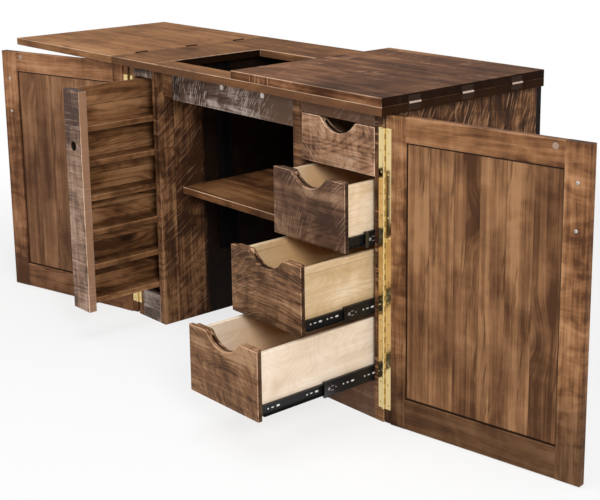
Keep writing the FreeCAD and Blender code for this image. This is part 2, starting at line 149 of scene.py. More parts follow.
def smooth(tree, value, low, high, to_low=0.0, to_high=1.0):
    """Smooth step of a value between two limits."""
    node = place(tree, "MapRange", {"interpolation_type": "SMOOTHSTEP"},
                 Value=value, From_Min=low, From_Max=high, To_Min=to_low, To_Max=to_high)
    return node.outputs[0]


def ragged(tree, value, spot, scale, reach):
    """A value pushed by noise, so that a mask has an uneven edge."""
    return calc(tree, "MULTIPLY_ADD", noise(tree, spot, scale, 3.0), reach, value)


def blend(tree, factor, first, second):
    """Mixes two colours."""
    return place(tree, "Mix", {"data_type": "RGBA"}, n0=factor, n6=first, n7=second).outputs[2]


def darker(colour, share):
    """A colour dimmed to a share of itself."""
    return tuple(share * part for part in colour)


def new_group(name, inputs, outputs):
    """An empty shader group with named inputs (name: default) and outputs (name: socket kind)."""
    tree = bpy.data.node_groups.new(name, "ShaderNodeTree")
    for key, value in inputs.items():
        kind = "NodeSocketVector" if isinstance(value, tuple) else "NodeSocketFloat"
        socket = tree.interface.new_socket(name=key, in_out="INPUT", socket_type=kind)
        socket.default_value = value
    for key, kind in outputs.items():
        tree.interface.new_socket(name=key, in_out="OUTPUT", socket_type="NodeSocket" + kind)
    given = tree.nodes.new("NodeGroupInput").outputs
    result = tree.nodes.new("NodeGroupOutput").inputs
    return tree, given, result


# How far along its grain, and through its thickness, a board may be cut from its neighbour
BOARD_SHIFT = (3.0, 0.0, 0.7)


def glue_up_group():
    """Boards glued side by side across Y: a random value and a shifted vector for each, and their seams."""
    tree, given, result = new_group(
        "glue_up", {"Vector": (0.0, 0.0, 0.0), "Board Width": 0.12, "Seam Width": 0.0007, "First Seam": 0.0},
        {"Vector": "Vector", "Board Random": "Float", "Seam": "Float"})
    across = axes(tree, given["Vector"])["Y"]
    count = calc(tree, "DIVIDE", calc(tree, "SUBTRACT", across, given["First Seam"]), given["Board Width"])
    number = calc(tree, "FLOOR", count)
    random = place(tree, "TexWhiteNoise", {"noise_dimensions": "1D"}, W=number).outputs
    spread = place(tree, "VectorMath", {"operation": "MULTIPLY_ADD"}, n0=random["Color"],
                   n1=BOARD_SHIFT, n2=given["Vector"])
    within = calc(tree, "FRACT", count)
    nearest = calc(tree, "MINIMUM", within, calc(tree, "SUBTRACT", 1.0, within))
    distance = product(tree, nearest, given["Board Width"])
    seam = calc(tree, "LESS_THAN", distance, given["Seam Width"])
    give(tree, result, Vector=spread.outputs[0], Board_Random=random["Value"], Seam=seam)
    return tree


# Knots to a metre along each axis, and how far their grain is pushed aside
KNOT_SPREAD = (2.6, 6.0, 6.0)
KNOT_PUSH = 0.03

# How strongly each part of the figure moves the tone
BROAD_SPREAD = 1.5
FINE_SPREAD = 0.9
CLOUD_SPREAD = 1.9
CURL_SPREAD = 2.0
LINE_DEPTH = 0.34

# Contours drawn in the growth field, and the mineral streaks' lean off the grain in radians
GROWTH_CONTOURS = 26.0
MINERAL_SLANT = 0.10


def wood_figure_group():
    """Stained maple with the grain along X: broad and fine streaks, curl across the grain,
    growth lines like contours, dark mineral streaks and knots."""
    tree, given, result = new_group(
        "wood_figure", {"Vector": (0.0, 0.0, 0.0), "Streak Width": 0.03, "Curl": 0.5, "Growth Lines": 0.5,
                        "Growth Bend": 1.2},
        {"Tone": "Float", "Fibres": "Float", "Mineral Streaks": "Float", "Knots": "Float"})
    vector = given["Vector"]
    cells = vector_calc(tree, "MULTIPLY", vector, KNOT_SPREAD)
    from_knot = place(tree, "TexVoronoi", Vector=cells, Scale=1.0).outputs["Distance"]
    knots = smooth(tree, from_knot, 0.12, 0.03)
    push = product(tree, smooth(tree, from_knot, 0.30, 0.0), KNOT_PUSH)
    bent = vector_calc(tree, "ADD", vector, vector_of(tree, 0.0, push, 0.0))

    # Streaks, clouds and curl, about the middle stain's tone of one half
    across = calc(tree, "DIVIDE", 1.0, given["Streak Width"])
    fine_across = product(tree, across, 5.0)
    broad = noise(tree, bent, vector_of(tree, 1.3, across, across), 3.0, 0.6)
    fine = noise(tree, bent, vector_of(tree, 2.6, fine_across, fine_across), 4.0, 0.65)
    clouds = noise(tree, vector, (5.0, 8.0, 8.0), 3.0, 0.6, 0.5)
    curl = noise(tree, vector, (17.0, 6.0, 6.0), 4.0, 0.6, 1.6)
    tone = calc(tree, "MULTIPLY_ADD", broad, BROAD_SPREAD, 0.5 - BROAD_SPREAD / 2)
    tone = calc(tree, "ADD", tone, about_nought(tree, fine, FINE_SPREAD))
    tone = calc(tree, "ADD", tone, about_nought(tree, clouds, CLOUD_SPREAD))
    curl_part = product(tree, calc(tree, "SUBTRACT", curl, 0.5), given["Curl"], CURL_SPREAD)
    tone = calc(tree, "ADD", tone, curl_part)

    # Growth lines, the contours of a smooth field
    field = noise(tree, bent, vector_of(tree, given["Growth Bend"], 9.0, 9.0), 1.0, 0.4)
    turns = calc(tree, "FRACT", product(tree, field, GROWTH_CONTOURS))
    ridge = calc(tree, "ABSOLUTE", calc(tree, "MULTIPLY_ADD", turns, 2.0, -1.0))
    line_part = product(tree, calc(tree, "POWER", ridge, 3.0), given["Growth Lines"], LINE_DEPTH)
    tone = calc(tree, "SUBTRACT", tone, line_part)

    fibres = noise(tree, vector, (30.0, 1100.0, 1100.0), 2.0, 0.6)
    slanted = place(tree, "Mapping", {"vector_type": "POINT"}, Vector=bent,
                    Rotation=(0.0, 0.0, MINERAL_SLANT))
    mineral = noise(tree, slanted.outputs[0], (4.5, 48.0, 48.0), 3.0, 0.7)
    streaks = smooth(tree, mineral, 0.58, 0.68)
    give(tree, result, Tone=tone, Fibres=fibres, Mineral_Streaks=streaks, Knots=knots)
    return tree


def saw_marks_group():
    """Short strokes that a coarse saw leaves at an angle to the grain, in patches."""
    tree, given, result = new_group(
        "saw_marks", {"Vector": (0.0, 0.0, 0.0), "Centre": (0.0, 0.0, 0.0), "Angle": 0.8, "Pitch": 0.006,
                      "Reach": 0.06, "Bow": 1.0, "Cover": 0.5, "Dark Share": 0.62, "Pale Share": 0.4},
        {"Kerfs": "Float", "Scuffs": "Float", "Height": "Float"})
    parts = axes(tree, vector_calc(tree, "SUBTRACT", given["Vector"], given["Centre"]))
    cosine = calc(tree, "COSINE", given["Angle"])
    sine = calc(tree, "SINE", given["Angle"])
    along = calc(tree, "ADD", product(tree, parts["X"], cosine), product(tree, parts["Y"], sine))
    over = calc(tree, "SUBTRACT", product(tree, parts["Y"], cosine), product(tree, parts["X"], sine))
    bowed = calc(tree, "MULTIPLY_ADD", product(tree, along, along), given["Bow"], over)
    stroke = vector_of(tree, calc(tree, "DIVIDE", along, given["Reach"]),
                       calc(tree, "DIVIDE", bowed, given["Pitch"]), parts["Z"])
    lines = noise(tree, stroke, (1.0, 1.0, 6.0), 2.0, 0.6)
    patches = noise(tree, given["Vector"], (9.0, 9.0, 9.0), 3.0, 0.6)
    limit = calc(tree, "SUBTRACT", 0.72, product(tree, given["Cover"], 0.4))
    shown = smooth(tree, calc(tree, "SUBTRACT", patches, limit), -0.06, 0.06)
    kerfs = product(tree, shown, given["Dark Share"], smooth(tree, lines, 0.48, 0.36))
    scuffs = product(tree, shown, given["Pale Share"], smooth(tree, lines, 0.54, 0.64))
    height = product(tree, lines, shown)
    give(tree, result, Kerfs=kerfs, Scuffs=scuffs, Height=height)
    return tree


def board_faces_group():
    """From a board's own normal: its sawn ends (X), long edges (Y) and the arrises of its faces (Z)."""
    tree, given, result = new_group("board_faces", {"Normal": (0.0, 0.0, 1.0)},
                                    {"Ends": "Float", "Long Edges": "Float", "Arris": "Float"})
    parts = axes(tree, vector_calc(tree, "ABSOLUTE", given["Normal"]))
    ends = smooth(tree, parts["X"], 0.75, 0.9)
    long_edges = smooth(tree, parts["Y"], 0.75, 0.9)
    aside_squared = calc(tree, "SUBTRACT", 1.0, product(tree, parts["Z"], parts["Z"]))
    aside = calc(tree, "SQRT", calc(tree, "MAXIMUM", 0.0, aside_squared))
    arris = smooth(tree, product(tree, parts["Z"], aside), 0.12, 0.35)
    give(tree, result, Ends=ends, Long_Edges=long_edges, Arris=arris)
    return tree


def box_edges_group():
    """The lines along the edges of a box given by its two corners."""
    tree, given, result = new_group(
        "box_edges", {"Vector": (0.0, 0.0, 0.0), "Low": (0.0, 0.0, 0.0), "High": (1.0, 1.0, 1.0),
                      "Width": 0.002}, {"Edges": "Float"})
    below = vector_calc(tree, "SUBTRACT", given["Low"], given["Vector"])
    above = vector_calc(tree, "SUBTRACT", given["Vector"], given["High"])
    signed = axes(tree, vector_calc(tree, "MAXIMUM", below, above))
    farthest = calc(tree, "MAXIMUM", calc(tree, "MAXIMUM", signed["X"], signed["Y"]), signed["Z"])
    here = calc(tree, "LESS_THAN", farthest, given["Width"])
    across, along, up = [calc(tree, "ABSOLUTE", signed[axis]) for axis in "XYZ"]
    second = calc(tree, "MAXIMUM", calc(tree, "MINIMUM", across, along),
                  calc(tree, "MINIMUM", calc(tree, "MAXIMUM", across, along), up))
    near = smooth(tree, calc(tree, "DIVIDE", second, given["Width"]), 1.0, 0.6)
    give(tree, result, Edges=product(tree, near, here))
    return tree


GLUE_UP = glue_up_group()
BOX_EDGES = box_edges_group()
WOOD_FIGURE = wood_figure_group()
SAW_MARKS = saw_marks_group()
BOARD_FACES = board_faces_group()


def use_group(tree, group, **inputs):
    """Puts a group in a tree, with its inputs by name."""
    node = place(tree, "Group", {"node_tree": group}, **inputs)
    return node.outputs


def new_material(name):
    material = bpy.data.materials.new(name)
    material.use_nodes = True
    tree = material.node_tree
    return material, tree, tree.nodes["Principled BSDF"]


def reordered(tree, vector, order):
    """Puts the axes named in order, such as zxy, in the places of X, Y and Z."""
    parts = axes(tree, vector)
    return vector_of(tree, *[parts[letter.upper()] for letter in order])


def shut_place(tree, turn):
    """Place and normal as they are with the door shut, for a door that stands open by turn degrees."""
    coords = place(tree, "TexCoord").outputs
    if not turn:
        return coords["Object"], coords["Normal"]
    angle = math.radians(-turn)
    hinge = Vector((math.copysign(HINGE_X, turn), HINGE_Y, 0.0))
    shift = hinge - Matrix.Rotation(angle, 3, "Z") @ hinge
    spot = place(tree, "Mapping", {"vector_type": "POINT"}, Vector=coords["Object"],
                 Rotation=(0.0, 0.0, angle), Location=shift)
    normal = place(tree, "Mapping", {"vector_type": "POINT"}, Vector=coords["Normal"],
                   Rotation=(0.0, 0.0, angle))
    return spot.outputs[0], normal.outputs[0]


def painted_panel_shadow(tree, spot):
    """A painted shadow line round a door panel, where it enters its grooves."""
    parts = axes(tree, spot)
    across = calc(tree, "ABSOLUTE", parts["X"])
    sides = calc(tree, "MINIMUM", calc(tree, "SUBTRACT", across, PANEL_INNER),
                 calc(tree, "SUBTRACT", PANEL_OUTER, across))
    ends = calc(tree, "MINIMUM", calc(tree, "SUBTRACT", parts["Z"], PANEL_LOW),
                calc(tree, "SUBTRACT", PANEL_HIGH, parts["Z"]))
    return smooth(tree, calc(tree, "MINIMUM", sides, ends), PANEL_SHADOW_END, PANEL_SHADOW_START)


# Shares of a stain's darkest tone that its marks take
MINERAL_SHARE = 0.9
KERF_SHARE = 0.7
SEAM_SHARE = 0.4
KNOT_SHARE = 0.3
END_SHARE = 0.25
SHADE_SHARE = 0.12

# How much the tone varies from board to board and between fibres, and how strongly a seam shows
BOARD_SPREAD = 0.30
FIBRE_SPREAD = 0.5
SEAM_STRENGTH = 0.6

# A seed of 1 moves the wood by this much, and a board's saw marks lie up to this far from its neighbour's
SEED_STEP = (1.37, 0.0, 0.71)
SAW_APART = 9.0

# What the fibres add to the height and the roughness
FIBRE_HEIGHT = 0.25
FIBRE_ROUGH = 0.2
# Pale colour of the edge lines: partly wear, partly painted highlight
WORN_AND_HIGHLIGHT_EDGE = (0.68, 0.46, 0.31)


def stain_colour(tree, tone, contrast, tones):
    """A ramp through the three tones of a stain; contrast spreads the tone about the middle one."""
    level = calc(tree, "MULTIPLY_ADD", calc(tree, "SUBTRACT", tone, 0.5), contrast, 0.5)
    ramp = place(tree, "ValToRGB", Fac=level)
    dark, middle, light = tones
    ramp.color_ramp.elements[0].color = (*dark, 1.0)
    ramp.color_ramp.elements[1].color = (*light, 1.0)
    ramp.color_ramp.elements.new(0.5).color = (*middle, 1.0)
    return ramp.outputs["Color"]


def paler(colour, scale, lift):
    """A colour scaled and lifted, no part of it past white."""
    return tuple(min(1.0, scale * part + lift) for part in colour)


def wood(name, order, tones, turn=0.0, seed=0.0, board=0.12, seam=0.0006, first_seam=0.0, streak=0.03,
         curl=0.5, lines=0.5, bend=1.2, knots=0.6, mineral=0.5, contrast=1.0, saw=None, gloss=0.6,
         sheen_level=0.10, arris=0.6, worn=1.3, worn_boxes=(), ends=0.75, edge_colour=None,
         mask=None, mask_share=0.96, mask_colour=None):
    """Stained wood, its tones from dark to light; saw gives the values of its saw marks."""
    material, tree, shader = new_material(name)
    dark, light = tones[0], tones[-1]
    spot, normal = shut_place(tree, turn)
    grain = reordered(tree, spot, order)
    seeded = vector_calc(tree, "ADD", grain, [seed * step for step in SEED_STEP])
    boards = use_group(tree, GLUE_UP, Vector=seeded, Board_Width=board, Seam_Width=seam,
                       First_Seam=first_seam)
    figure = use_group(tree, WOOD_FIGURE, Vector=boards["Vector"], Streak_Width=streak, Curl=curl,
                       Growth_Lines=lines, Growth_Bend=bend)
    faces = use_group(tree, BOARD_FACES, Normal=reordered(tree, normal, order))

    # Figure
    tone = calc(tree, "ADD", about_nought(tree, boards["Board Random"], BOARD_SPREAD), figure["Tone"])
    tone = calc(tree, "ADD", tone, about_nought(tree, figure["Fibres"], FIBRE_SPREAD))
    colour = stain_colour(tree, tone, contrast, tones)
    colour = blend(tree, product(tree, figure["Mineral Streaks"], mineral), colour,
                   darker(dark, MINERAL_SHARE))
    colour = blend(tree, product(tree, figure["Knots"], knots), colour, darker(dark, KNOT_SHARE))
    height = product(tree, figure["Fibres"], FIBRE_HEIGHT)
    rough = calc(tree, "MULTIPLY_ADD", figure["Fibres"], FIBRE_ROUGH, gloss - FIBRE_ROUGH / 2)

    # Saw marks, other ones on each board
    if saw:
        apart = vector_of(tree, 0.0, 0.0, product(tree, boards["Board Random"], SAW_APART))
        marks = use_group(tree, SAW_MARKS, Vector=vector_calc(tree, "ADD", grain, apart), **saw)
        colour = blend(tree, marks["Kerfs"], colour, darker(dark, KERF_SHARE))
        colour = blend(tree, marks["Scuffs"], colour, paler(light, 1.35, 0.03))
        height = calc(tree, "ADD", height, marks["Height"])

    # Seams, edges and ends; the pale arris lines are partly wear and partly a painted highlight
    colour = blend(tree, product(tree, boards["Seam"], SEAM_STRENGTH), colour, darker(dark, SEAM_SHARE))
    if edge_colour:
        varied = smooth(tree, figure["Tone"], 0.1, 0.9, 0.85, 0.30)
        colour = blend(tree, product(tree, faces["Long Edges"], varied), colour, edge_colour)
    edge_wear_and_highlight = product(tree, smooth(tree, figure["Tone"], 0.1, 0.7), arris)
    colour = blend(tree, product(tree, faces["Arris"], edge_wear_and_highlight), colour, paler(light, worn, 0.04))
    colour = blend(tree, product(tree, faces["Ends"], ends), colour, darker(dark, END_SHARE))
    for low, high in worn_boxes:
        edges = use_group(tree, BOX_EDGES, Vector=spot, Low=low, High=high)
        line_wear_and_highlight = product(tree, edges["Edges"], smooth(tree, figure["Tone"], -0.1, 0.6, 0.25, 0.8))
        colour = blend(tree, line_wear_and_highlight, colour, WORN_AND_HIGHLIGHT_EDGE)

    if mask:
        colour = blend(tree, product(tree, mask(tree, spot), mask_share), colour,
                       mask_colour or darker(dark, SHADE_SHARE))
    height = calc(tree, "SUBTRACT", height, boards["Seam"])
    bump = place(tree, "Bump", Strength=0.5, Distance=0.6 * MM, Height=height)
    give(tree, shader.inputs, Base_Color=colour, Roughness=rough, Normal=bump.outputs[0],
         Specular_IOR_Level=sheen_level)
    return material


def metal(name, colour, rough, metallic=1.0, spots=0.25, smudge=0.16, shine=0.5):
    """Worn metal: its roughness and tint vary in fine spots and broad smudges."""
    material, tree, shader = new_material(name)
    coords = place(tree, "TexCoord").outputs["Object"]
    fine = noise(tree, coords, (240.0, 240.0, 240.0), 3.0, 0.6)
    broad = noise(tree, coords, (22.0, 22.0, 22.0), 3.0, 0.6)
    tint = calc(tree, "MULTIPLY_ADD", broad, spots, 1.0 - spots)
    shade = blend(tree, tint, darker(colour, 0.5), colour)
    roughness = calc(tree, "MULTIPLY_ADD", broad, smudge, rough)
    bump = place(tree, "Bump", Strength=0.3, Distance=0.1 * MM, Height=fine)
    give(tree, shader.inputs, Base_Color=shade, Roughness=roughness, Normal=bump.outputs[0],
         Metallic=metallic, Specular_IOR_Level=shine)
    return material


# Stain tones, dark to light
DOOR_TONES = ((0.070, 0.027, 0.010), (0.200, 0.090, 0.037), (0.350, 0.178, 0.085))
PANEL_TONES = ((0.058, 0.023, 0.009), (0.160, 0.074, 0.032), (0.300, 0.155, 0.072))
LEFT_DOOR_TONES = ((0.090, 0.035, 0.014), (0.250, 0.112, 0.050), (0.410, 0.205, 0.105))
LEFT_PANEL_TONES = ((0.075, 0.030, 0.013), (0.195, 0.092, 0.043), (0.340, 0.175, 0.090))
TOP_TONES = ((0.060, 0.022, 0.008), (0.195, 0.084, 0.030), (0.350, 0.175, 0.072))
PLATFORM_TONES = ((0.050, 0.018, 0.007), (0.160, 0.068, 0.025), (0.300, 0.148, 0.062))
LEFT_LEAF_TONES = ((0.110, 0.042, 0.015), (0.290, 0.132, 0.050), (0.450, 0.232, 0.102))
LEAF_TONES = ((0.052, 0.020, 0.009), (0.168, 0.071, 0.032), (0.345, 0.174, 0.088))
SAWN_TONES = ((0.055, 0.025, 0.011), (0.175, 0.085, 0.040), (0.350, 0.200, 0.110))
DRAWER_ONE_TONES = ((0.085, 0.038, 0.020), (0.340, 0.180, 0.100), (0.560, 0.370, 0.245))
DRAWER_TWO_TONES = ((0.045, 0.022, 0.013), (0.125, 0.063, 0.036), (0.280, 0.165, 0.100))
GREY_TONES = ((0.028, 0.016, 0.011), (0.092, 0.054, 0.037), (0.420, 0.340, 0.290))
RACK_FRONT_TONES = ((0.070, 0.040, 0.029), (0.275, 0.163, 0.110), (0.420, 0.290, 0.215))
CASE_TONES = ((0.035, 0.014, 0.006), (0.115, 0.050, 0.021), (0.270, 0.135, 0.062))
# Near black: painted shade on the desk's back, in the dark behind the kneehole
BACK_SHADE_TONES = ((0.008, 0.004, 0.003), (0.018, 0.009, 0.006), (0.040, 0.022, 0.014))
MAPLE_TONES = ((0.600, 0.430, 0.260), (0.740, 0.580, 0.410), (0.840, 0.710, 0.560))
YELLOW_MAPLE_TONES = ((0.470, 0.320, 0.160), (0.590, 0.425, 0.250), (0.760, 0.620, 0.440))
PALE_MAPLE_TONES = ((0.620, 0.475, 0.330), (0.750, 0.615, 0.470), (0.840, 0.725, 0.600))
RACK_TONES = ((0.055, 0.022, 0.008), (0.165, 0.072, 0.028), (0.310, 0.155, 0.070))

# Plain stains of long edges and masks, but the drawers' warm inside is painted shade and warm bounce light
TOP_EDGE = (0.112, 0.053, 0.028)
LEFT_LEAF_EDGE = (0.145, 0.070, 0.038)
RACK_EDGE = (0.330, 0.175, 0.100)
RAIL_BROWN = (0.115, 0.056, 0.029)
APRON_BROWN = (0.105, 0.058, 0.036)
PAINTED_WARM_SHADE = (0.60, 0.34, 0.15)

BLACK_STEEL = metal("black_slide_steel", (0.006, 0.006, 0.006), 0.30, metallic=0.0, shine=0.3)
CAGE_PLASTIC = metal("black_cage_plastic", (0.005, 0.005, 0.005), 0.14, metallic=0.0, shine=0.8)
LIFT_STEEL = metal("black_lift_steel", (0.004, 0.003, 0.003), 0.80, metallic=0.0, shine=0.05)
CAGE_STEEL = metal("cage_steel", (0.30, 0.29, 0.28), 0.25, metallic=0.3)
BRASS = metal("polished_brass", (0.78, 0.60, 0.29), 0.05, spots=0.15, smudge=0.12)
BRASS_SCREWS = metal("brass_screws", (0.62, 0.45, 0.20), 0.22)
BRONZE = metal("pale_bronze", (0.62, 0.46, 0.36), 0.30)
STRIKE_METAL = metal("copper_brown_steel", (0.36, 0.25, 0.185), 0.35)
BROWN_BRONZE = metal("brown_bronze", (0.16, 0.10, 0.07), 0.40)
DULL_BRONZE = metal("dull_bronze", (0.030, 0.016, 0.010), 0.60, metallic=0.2, shine=0.1)
BRIGHT_STEEL = metal("bright_steel", (0.55, 0.50, 0.45), 0.38)
ZINC = metal("zinc_plate", (0.85, 0.84, 0.82), 0.30, metallic=0.4)
PULL_METAL = metal("dark_bronze", (0.09, 0.06, 0.045), 0.36)


def ease_edges(thing, width):
    """Rounds the sharp edges a little, and keeps the broad faces flat."""
    joined = thing.modifiers.new("joined_faces", "DECIMATE")
    joined.decimate_type = "DISSOLVE"
    joined.angle_limit = math.radians(0.5)
    edge = thing.modifiers.new("eased_edge", "BEVEL")
    edge.width = width
    edge.segments = 2
    edge.limit_method = "ANGLE"
    edge.angle_limit = math.radians(40)
    flat = thing.modifiers.new("flat_faces", "WEIGHTED_NORMAL")
    flat.weight = 100


# Widths of the softened edges
BOARD_EASE = 1.4 * MM
TOP_EASE = 1.5 * MM
DRAWER_EASE = 1.8 * MM
FITTING_EASE = 0.4 * MM
STEEL_EASE = 0.3 * MM
WELD_REACH = 0.01 * MM


def dress(node, material, ease=BOARD_EASE):
    """Gives a CAD node its material and softened edges."""
    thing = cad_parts[node]
    thing.data.materials.clear()
    thing.data.materials.append(material)
    if ease:
        weld = thing.modifiers.new("weld", "WELD")
        weld.merge_threshold = WELD_REACH
        ease_edges(thing, ease)


# Saw marks, in metres and radians; Centre is a place on the board, along its grain first
DIVIDER_SAW = {"Centre": (0.4, -0.45, 0.0), "Angle": 0.9, "Pitch": 0.0065, "Reach": 0.09, "Bow": 0.3,
               "Cover": 0.7, "Dark_Share": 0.6, "Pale_Share": 0.25}
FRONT_SAW = {"Pitch": 0.0045, "Reach": 0.06, "Bow": 2.0, "Dark_Share": 0.45, "Pale_Share": 0.2}
RACK_SAW = {"Angle": 1.52, "Pitch": 0.0045, "Reach": 0.07, "Bow": 0.0, "Cover": 0.8, "Dark_Share": 0.45,
            "Pale_Share": 0.25}
APRON_SAW = {"Centre": (-0.2, 0.7, 0.0), "Angle": 1.3, "Pitch": 0.0032, "Reach": 0.03, "Bow": 2.0,
             "Cover": 0.68, "Dark_Share": 0.5, "Pale_Share": 0.55}
SIDE_SAW = {"Centre": (0.5, -0.35, 0.0), "Angle": 0.75, "Pitch": 0.0075, "Reach": 0.07, "Bow": 0.8,
            "Cover": 0.7, "Dark_Share": 0.6, "Pale_Share": 0.35}
LEAF_SAW = {"Angle": 1.2, "Pitch": 0.006, "Reach": 0.03, "Bow": 0.0, "Cover": 0.34, "Pale_Share": 0.8}
BACK_SAW = {"Angle": 1.2, "Pitch": 0.007, "Reach": 0.08, "Bow": 0.5, "Cover": 0.5, "Pale_Share": 0.12}

# Each drawer's look, from the top one down
DRAWER_LOOKS = (
    {"tones": DRAWER_ONE_TONES, "seed": 3.0, "contrast": 1.1, "maple": MAPLE_TONES,
     "saw": dict(FRONT_SAW, Centre=(0.358, 0.65, 0.0), Angle=-0.9, Cover=0.5)},
    {"tones": DRAWER_TWO_TONES, "seed": 5.5, "contrast": 0.9, "maple": MAPLE_TONES,
     "saw": dict(FRONT_SAW, Centre=(0.358, 0.51, 0.0), Angle=1.05, Cover=0.55, Reach=0.11, Pitch=0.0035,
                 Pale_Share=0.4)},
    {"tones": SAWN_TONES, "seed": 8.0, "contrast": 1.2, "maple": YELLOW_MAPLE_TONES,
     "saw": dict(FRONT_SAW, Centre=(0.358, 0.34, 0.0), Angle=0.15, Cover=0.7)},
    {"tones": SAWN_TONES, "seed": 12.5, "contrast": 1.0, "maple": PALE_MAPLE_TONES,
     "saw": dict(FRONT_SAW, Centre=(0.358, 0.18, 0.0), Angle=-0.95, Cover=0.55, Reach=0.09, Pitch=0.008,
                 Dark_Share=0.6)})


# Masks: where a board is darker or plainer, by its place at rest, or on a door by its place when shut

# Heights where the painted shade at the doors' feet is full and where it ends
FOOT_DARK = 100 * MM
FOOT_LIGHT = 340 * MM
PEDESTAL_SPLIT = 10 * MM
APRON_FADE = (60 * MM, 200 * MM)
CUT_OUT_WALL = -345.3 * MM
CUT_OUT_LEFT = -346.6 * MM
CUT_OUT_FRONT = -512 * MM
CUT_OUT_REAR = -200 * MM
CUT_OUT_TOP = 766.8 * MM
CUT_OUT_FADE = 0.4 * MM
# Depth where the kneehole's painted shade begins, and over which it fades in
KNEEHOLE_SHADE_START = -385 * MM
KNEEHOLE_SHADE_FADE = 20 * MM
RACK_HOLE_X = -447.5 * MM
RACK_HOLE_Z = 553.2 * MM
RACK_HOLE_RADIUS = 13.1 * MM
RACK_HOLE_FADE = 0.7 * MM
LEAF_FRONT = -579.8 * MM
LEAF_FRONT_FADE = 1 * MM
LEAF_FADE = (150 * MM, 600 * MM)

# The drawers' inner faces: in from the sides' outer faces, down from the rim, and back from the front, where
# their painted shade starts and grows full
INSIDE_IN = 4 * MM
INSIDE_DOWN = 1 * MM
INSIDE_SHADE_START = 10 * MM
INSIDE_SHADE_SHORTEST = 80 * MM
INSIDE_SHADE_LONGEST = 200 * MM
INSIDE_SHADE_END = -560 * MM


def painted_shade_near_floor(tree, spot):
    """Painted shade: the door frames turn darker towards the floor."""
    height = ragged(tree, axes(tree, spot)["Z"], spot, (9.0, 9.0, 3.0), 0.10)
    return smooth(tree, height, FOOT_LIGHT, FOOT_DARK)


def right_rails(tree, spot):
    """The rails of the right pedestal, plain brown."""
    return smooth(tree, axes(tree, spot)["X"], 0.0, PEDESTAL_SPLIT)


def apron_brown(tree, spot):
    """The right end of the apron, which the saw marks leave plain."""
    along = ragged(tree, axes(tree, spot)["X"], spot, (9.0, 9.0, 20.0), 0.12)
    return smooth(tree, along, *APRON_FADE)


def cut_out_shade(tree, spot):
    """The left wall of the cut-out, which hardly sees the light."""
    parts = axes(tree, spot)
    wall = smooth(tree, parts["X"], CUT_OUT_WALL + CUT_OUT_FADE, CUT_OUT_WALL)
    beside = calc(tree, "GREATER_THAN", parts["X"], CUT_OUT_LEFT)
    below = calc(tree, "LESS_THAN", parts["Z"], CUT_OUT_TOP)
    behind_front = calc(tree, "GREATER_THAN", parts["Y"], CUT_OUT_FRONT)
    before_rear = calc(tree, "LESS_THAN", parts["Y"], CUT_OUT_REAR)
    return product(tree, wall, product(tree, beside, below), product(tree, behind_front, before_rear))


def kneehole_painted_shade(tree, spot):
    """Painted shade: where a kneehole board turns black behind its front boards."""
    depth = ragged(tree, axes(tree, spot)["Y"], spot, (4.0, 6.0, 9.0), 0.03)
    return smooth(tree, depth, KNEEHOLE_SHADE_START, KNEEHOLE_SHADE_START + KNEEHOLE_SHADE_FADE)


def painted_rack_hole_shade(tree, spot):
    """Painted shade on the wall of the rack's finger hole."""
    parts = axes(tree, spot)
    from_middle = vector_of(tree, calc(tree, "SUBTRACT", parts["X"], RACK_HOLE_X), 0.0,
                            calc(tree, "SUBTRACT", parts["Z"], RACK_HOLE_Z))
    away = length_of(tree, from_middle)
    return smooth(tree, away, RACK_HOLE_RADIUS + RACK_HOLE_FADE, RACK_HOLE_RADIUS)


def painted_inside_shade(number):
    """A mask of painted shade, warm brown from painted bounce light, on a drawer's inner faces towards its
    back.
    """
    low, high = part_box("drawer_%d_box" % number)
    middle = (low[0] + high[0]) / 2
    half = (high[0] - low[0]) / 2 - INSIDE_IN
    full = min(low[1] + INSIDE_SHADE_LONGEST, max(low[1] + INSIDE_SHADE_SHORTEST, INSIDE_SHADE_END))

    def mask(tree, spot):
        parts = axes(tree, spot)
        aside = calc(tree, "ABSOLUTE", calc(tree, "SUBTRACT", parts["X"], middle))
        inner = calc(tree, "LESS_THAN", aside, half)
        below = calc(tree, "LESS_THAN", parts["Z"], high[2] - INSIDE_DOWN)
        depth = smooth(tree, parts["Y"], low[1] + INSIDE_SHADE_START, full)
        return product(tree, inner, below, depth)

    return mask


def leaf_shade(tree, spot):
    """The folded leaf turns darker towards its hinges, but not on its front edge."""
    parts = axes(tree, spot)
    along = ragged(tree, parts["X"], spot, (1.5, 12.0, 1.0), 0.3)
    on_faces = smooth(tree, parts["Y"], LEAF_FRONT, LEAF_FRONT + LEAF_FRONT_FADE)
    return product(tree, smooth(tree, along, *LEAF_FADE), on_faces)


# The board width of a piece that is one board, wider than any of them
WHOLE = 0.4

# Boxes for pale edge lines, partly wear and partly painted highlight, each the low and high corner; FAR keeps
# a box's other sides off the piece
FAR = 9.0
RACK_FRONT_SIDE = ((-FAR, -775.4 * MM, -FAR), (-408.0 * MM, FAR, FAR))
CUT_OUT_BACK = ((-345.75 * MM, -FAR, -FAR), (164.25 * MM, -202.0 * MM, 768.0 * MM))


def front_arris(node):
    """A box whose only edge on the piece is its upper front one."""
    low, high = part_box(node)
    return (-FAR, low[1], -FAR), (FAR, FAR, high[2])


def dress_in_wood(node, order, tones, ease=BOARD_EASE, **values):
    """Dresses a node in a wood of its own."""
    dress(node, wood(node + "_wood", order, tones, **values), ease)


